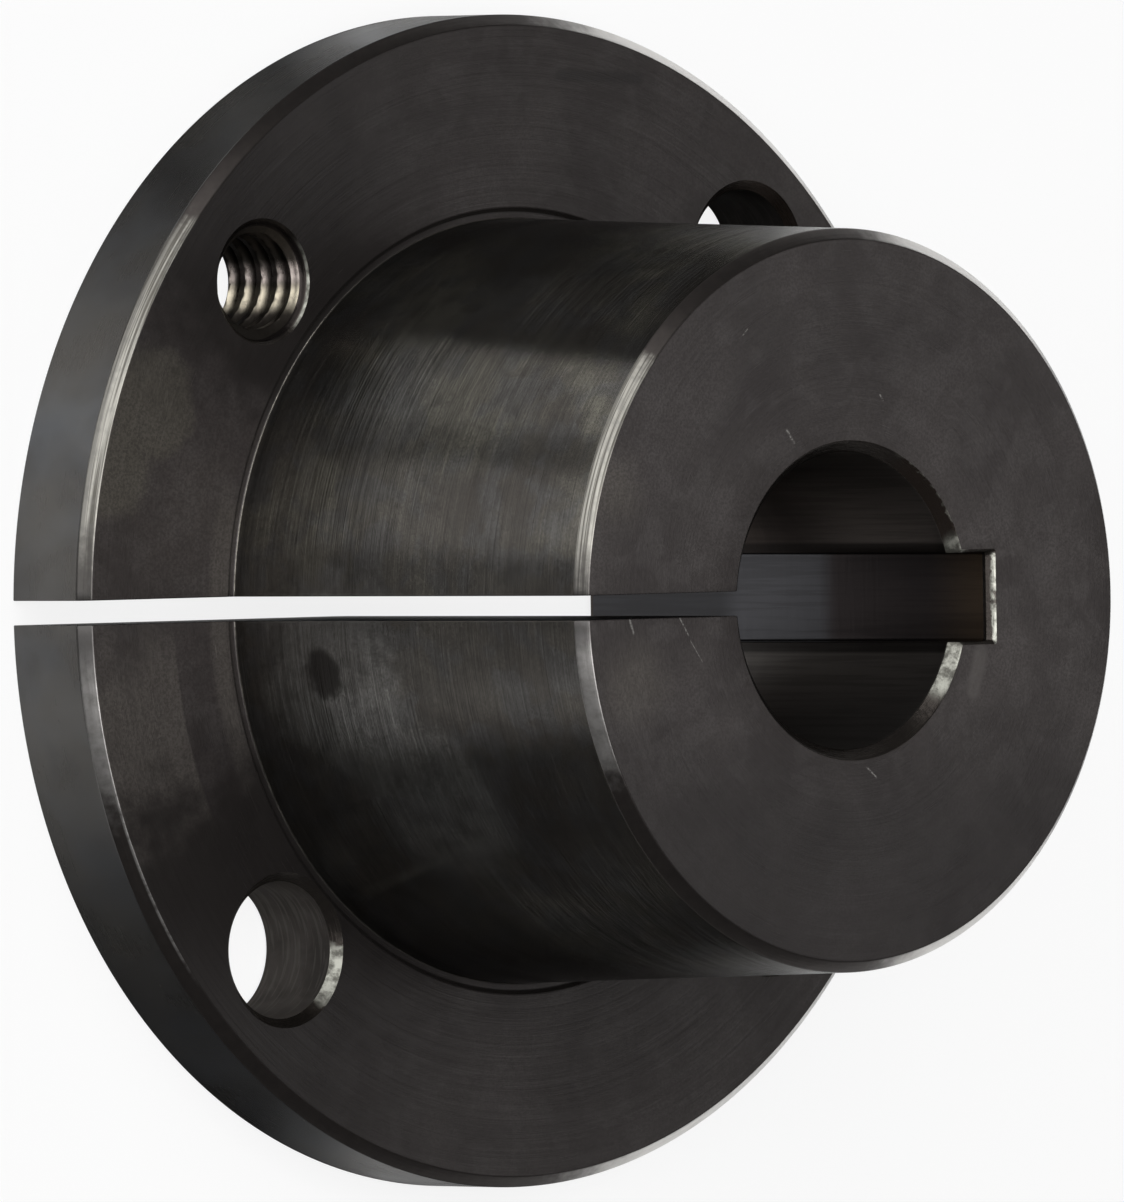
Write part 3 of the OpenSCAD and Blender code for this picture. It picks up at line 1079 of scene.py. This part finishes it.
def key_columns_at(radius, half_w, reach):
    """The bore's outline with its keyway: an arc, a side, the floor, a side and an arc, with
    small curves at the four corners and the same columns at every depth."""
    corner_x = math.sqrt(radius**2 - half_w**2)
    arc_end = -math.asin(half_w / radius) - KEY_LIP / radius
    arc = on_circle(radius, np.linspace(-last_angle(radius), arc_end, ARC_STEPS + 1))
    edge = curve_through(arc[-1], (corner_x, -half_w), (corner_x + KEY_LIP, -half_w), ROUND_STEPS)
    bend = round_corner((corner_x, -half_w), (reach, -half_w), (reach, half_w), KEY_ROOT, ROUND_STEPS)
    side = np.linspace(edge[-1], bend[0], SIDE_STEPS + 1)
    floor = np.linspace(bend[-1], bend[-1] * (1, -1), FLOOR_STEPS + 1)
    first = np.concatenate([arc, edge[1:], side[1:], bend[1:]])
    return np.concatenate([first, floor[1:-1], first[::-1] * (1, -1)])


print("columns:", len(circle_columns(flange_r)), len(key_columns_at(bore_r, key_half_w, key_reach)))

# %% [markdown]
# ## Rows from face to face
# The section is closed: up the outside, across the nose, down the bore and back across the
# flange. At both ends the bore, the keyway's sides and its floor open by their own chamfers.
# Depths are spaced closely where a chamfer bends and widely where the wall is straight.

# %% Rows of the body
# Depth below an end face, and how far a row there spreads to round the face's own edge
END_DEPTHS = np.array([0.0, 0.006, 0.02, 0.13, 0.15, 0.17, 0.38, 0.4, 0.42, 0.56, 0.6, 0.66, 1.3])
END_SPREAD = np.array([0.03, 0.011, 0, 0, 0, 0, 0, 0, 0, 0, 0, 0, 0])
FACE_STEPS = (0.35, 0.7)
BEND_SOFTNESS = 0.03


def opened_by(chamfer_w, depth):
    """How far a chamfer opens a wall at a depth: chamfer - depth while that is above nought,
    with a soft bend: (x + sqrt(x^2 + e^2)) / 2."""
    x = chamfer_w - depth
    return (x + math.sqrt(x * x + BEND_SOFTNESS**2)) / 2


def bore_row(depth, spread):
    """Columns of the bore and the keyway at a depth below either end face."""
    return key_columns_at(bore_r + opened_by(bore_chamfer, depth) + spread,
                          key_half_w + opened_by(key_side_break, depth) + spread,
                          key_reach + opened_by(key_floor_chamfer, depth) + spread)


def body_rows():
    """Every row of the closed section: columns (x, y), height, and the surface after it."""
    rows = [(circle_columns(r), z, name) for (r, z), name in zip(section, section_surface)]
    first, last = rows[0], rows[-1]
    bore = [bore_row(depth, spread) for depth, spread in zip(END_DEPTHS, END_SPREAD)]
    names = ["mouth" if depth < bore_chamfer else "bore" for depth in END_DEPTHS]
    rows += [((1 - t) * last[0] + t * bore[0], overall_l, "faced") for t in FACE_STEPS]
    rows += [(columns, overall_l - d, name) for columns, d, name in zip(bore, END_DEPTHS, names)]
    back_names = names[:-1][::-1] + ["faced"]
    rows += [(columns, d, name) for columns, d, name in zip(bore[::-1], END_DEPTHS[::-1], back_names)]
    rows += [((1 - t) * first[0] + t * bore[0], 0.0, "faced") for t in FACE_STEPS[::-1]]
    return rows


rows = body_rows()
print("rows:", len(rows))

# %% [markdown]
# ## The slit's edges
# The saw leaves two flat walls, and each meets the skin in an edge that the oxide bath and
# handling have softened. So three more columns are added at either end of every row. They
# turn from the skin into the wall, which is closed by one flat face.

# %% The grid of points
FILLET_STEPS = 3


def slit_edges(grid):
    """Round the slit's two edges. With n the section's outward normal, a point at angle a of
    the fillet f lies f(1 - cos a) inside the surface and f(1 - sin a) off the saw's wall."""
    r, z = np.hypot(grid[:, 0, 0], grid[:, 0, 1]), grid[:, 0, 2]
    step_r = np.roll(r, -1) - np.roll(r, 1)
    step_z = np.roll(z, -1) - np.roll(z, 1)
    length = np.hypot(step_r, step_z)
    normal_r, normal_z = step_z / length, -step_r / length
    angle = np.linspace(0, math.pi / 2, FILLET_STEPS + 1)[1:]
    sunk = SLIT_FILLET * (1 - np.cos(angle))
    y = np.broadcast_to(slit_half_w + SLIT_FILLET * (1 - np.sin(angle)), (len(r), len(angle)))
    r_in = r[:, None] - normal_r[:, None] * sunk
    edge = np.stack([-np.sqrt(r_in**2 - y**2), y, z[:, None] - normal_z[:, None] * sunk], 2)
    low = edge[:, ::-1] * (1, -1, 1)
    return np.concatenate([low, grid, edge], 1)


grid = np.stack([np.column_stack([columns, np.full(len(columns), z)]) for columns, z, _ in rows])
grid = slit_edges(grid)
row_count, column_count = grid.shape[:2]
print("grid:", row_count, "rows x", column_count, "columns")

# %% The skin and the two saw cuts


def grid_faces(rows_n, columns_n, closed_rows):
    """Quads (j,i), (j,i+1), (j+1,i+1), (j+1,i) over a grid, as one array."""
    j = np.arange(rows_n if closed_rows else rows_n - 1)[:, None]
    i = np.arange(columns_n - 1)[None, :]
    k = (j + 1) % rows_n
    quads = np.stack(np.broadcast_arrays(j * columns_n + i, j * columns_n + i + 1,
                                         k * columns_n + i + 1, k * columns_n + i), 2)
    return quads.reshape(-1, 4)


def new_piece(name, points, faces, surfaces):
    """A mesh object from arrays in millimetres, with one finish's number per face."""
    mesh = bpy.data.meshes.new(name)
    mesh.from_pydata((np.asarray(points) * MM).tolist(), [], faces)
    for material in materials:
        mesh.materials.append(material)
    mesh.polygons.foreach_set("material_index", np.asarray(surfaces, np.int32))
    mesh.update()
    piece = bpy.data.objects.new(name, mesh)
    bpy.context.scene.collection.objects.link(piece)
    return piece


body_surfaces = np.repeat([surface_of[name] for _, _, name in rows], column_count - 1)
body_surfaces = np.append(body_surfaces, [surface_of["sawn"]] * 2)
body_faces = grid_faces(row_count, column_count, closed_rows=True).tolist()
first_wall = np.arange(row_count) * column_count
last_wall = (first_wall + column_count - 1)[::-1]
body_faces += [first_wall.tolist(), last_wall.tolist()]
body = new_piece("bushing_body", grid.reshape(-1, 3), body_faces, body_surfaces)
print("body:", len(body.data.polygons), "faces")

# %% [markdown]
# ## Cutters for the four holes
# Two holes are plain and two are tapped. A drill's shape is a profile turned round the
# hole's own axis, and so is the thread, if its radius may change with the turn as well as
# with the height. Each cutter carries the finish of the wall that it leaves. A thread could
# be left to bump, but its crests stand clear in the photograph's upper left hole.

# %% Cutter shapes
AROUND = 96
CUT_PAST = 1.0
CONE_PAST = 0.1
# Added below the lead-in to the countersink's slope of 1
LEAD_IN_STEEPER = 2


def turns_round():
    """Even angles of one whole turn."""
    return np.linspace(0, 2 * math.pi, AROUND, endpoint=False)


def revolve(radii, heights, centre, surface_names):
    """A closed cutter: one ring of points at each height, its radius given for every point,
    with a cap at both ends. Faces point outwards."""
    turn = turns_round()
    radii = np.broadcast_to(radii, (len(heights), AROUND))
    points = np.stack([centre[0] + radii * np.cos(turn), centre[1] + radii * np.sin(turn),
                       np.broadcast_to(np.array(heights)[:, None], radii.shape)], 2)
    points = np.concatenate([points, points[:, :1]], 1)
    faces = grid_faces(len(heights), AROUND + 1, closed_rows=False)
    faces = np.where(faces % (AROUND + 1) == AROUND, faces - AROUND, faces)
    bottom = np.arange(AROUND)
    top = bottom + (len(heights) - 1) * (AROUND + 1)
    caps = [bottom[::-1].tolist(), top.tolist()]
    surfaces = np.repeat([surface_of[name] for name in surface_names], AROUND)
    return points.reshape(-1, 3), faces.tolist() + caps, np.append(surfaces, [0, 0])


def thread_radius(turn, z):
    """Right-hand thread: the groove's middle climbs one pitch a turn. At a distance d from
    it the wall is at major_r - (d - pitch/16) / tan 30, held between minor and major radius."""
    phase = (z / thread_pitch - turn / (2 * math.pi)) % 1.0
    d = np.abs(phase - 0.5) * thread_pitch
    wall = thread_major_r - (d - thread_pitch / 16) / math.tan(math.pi / 6)
    return np.clip(wall, tapped_r, thread_major_r)


def tapped_radius(turn, z):
    """The thread, opened by a 45 degree countersink at the front and an edge break behind. Below
    the lead-in the countersink closes three times as fast, where the first crest starts."""
    depth = flange_t - z
    front = tapped_r + tapped_chamfer - depth - LEAD_IN_STEEPER * np.maximum(depth - lead_in, 0)
    back = tapped_r + back_break - z
    front = np.minimum(front, tapped_r + tapped_chamfer + CONE_PAST)
    back = np.minimum(back, tapped_r + back_break + CONE_PAST)
    return np.maximum(thread_radius(turn, z), np.maximum(front, back))


print(f"thread: pitch {thread_pitch}, radius {tapped_r} to {thread_major_r}")

# %% Place the cutters
THREAD_STEP = 0.0585
TINY = 1e-6
plain_rim = plain_r + plain_chamfer + CONE_PAST
plain_back = plain_r + back_break
# Radius and height of each ring of a plain cutter
plain_rings = np.array([
    (plain_back, -CUT_PAST), (plain_back + CONE_PAST, -CONE_PAST), (plain_r, back_break),
    (plain_r, flange_t - plain_chamfer), (plain_rim, flange_t + CONE_PAST),
    (plain_rim, flange_t + CUT_PAST),
])
plain_names = ["mouth", "mouth", "drilled", "mouth", "mouth"]

thread_heights = np.arange(-CONE_PAST, flange_t + CONE_PAST + TINY, THREAD_STEP)
thread_heights = np.concatenate([[-CUT_PAST], thread_heights, [flange_t + CUT_PAST]])
turn_grid, z_grid = np.meshgrid(turns_round(), thread_heights)
tapped_radii = tapped_radius(turn_grid, z_grid)
tapped_names = np.where(thread_heights[1:] > flange_t - lead_in, "mouth", "thread").tolist()

# By quarter turns from the first tapped hole, tapped and plain holes take turns
cutter_parts = []
for k in range(4):
    angle = tapped_turn + k * math.pi / 2
    centre = (hole_circle_r * math.cos(angle), hole_circle_r * math.sin(angle))
    if k % 2 == 0:
        cutter_parts.append(revolve(tapped_radii, thread_heights, centre, tapped_names))
    else:
        cutter_parts.append(revolve(plain_rings[:, :1], plain_rings[:, 1], centre, plain_names))

shift = np.cumsum([0] + [len(points) for points, _, _ in cutter_parts])
cutter = new_piece(
    "hole_cutter",
    np.concatenate([points for points, _, _ in cutter_parts]),
    [[v + s for v in face] for s, (_, faces, _) in zip(shift, cutter_parts) for face in faces],
    np.concatenate([surfaces for _, _, surfaces in cutter_parts]))
print("cutters:", len(cutter.data.polygons), "faces")

# %% [markdown]
# ## Cut the holes
# A Boolean modifier takes the cutters away from the body, much as drills would. The result
# is read out as a mesh of its own, so the body and the cutters can go. Then edges sharper
# than 35 degrees stay sharp, and a Weighted Normal modifier keeps the flat faces flat.

# %% Cut the holes
cut = body.modifiers.new("holes", "BOOLEAN")
cut.operation = "DIFFERENCE"
cut.solver = "EXACT"
cut.material_mode = "TRANSFER"
cut.object = cutter
evaluated = body.evaluated_get(bpy.context.evaluated_depsgraph_get())
bushing_mesh = bpy.data.meshes.new_from_object(evaluated)
bushing_mesh.name = "bushing_skin"
bushing = bpy.data.objects.new("bushing_skin", bushing_mesh)
bpy.context.scene.collection.objects.link(bushing)
bpy.data.objects.remove(body)
bpy.data.objects.remove(cutter)
print("skin:", len(bushing_mesh.polygons), "faces, materials", len(bushing_mesh.materials))

# %% Smooth the skin and join it to the frame
SHARP_DEGREES = 35
bushing_mesh.shade_smooth()
bushing_mesh.set_sharp_from_angle(angle=math.radians(SHARP_DEGREES))
weighted = bushing.modifiers.new("face_normals", "WEIGHTED_NORMAL")
weighted.keep_sharp = True

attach(bushing, "root")
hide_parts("bushing")
print("skin rides on root and stands for the bushing")
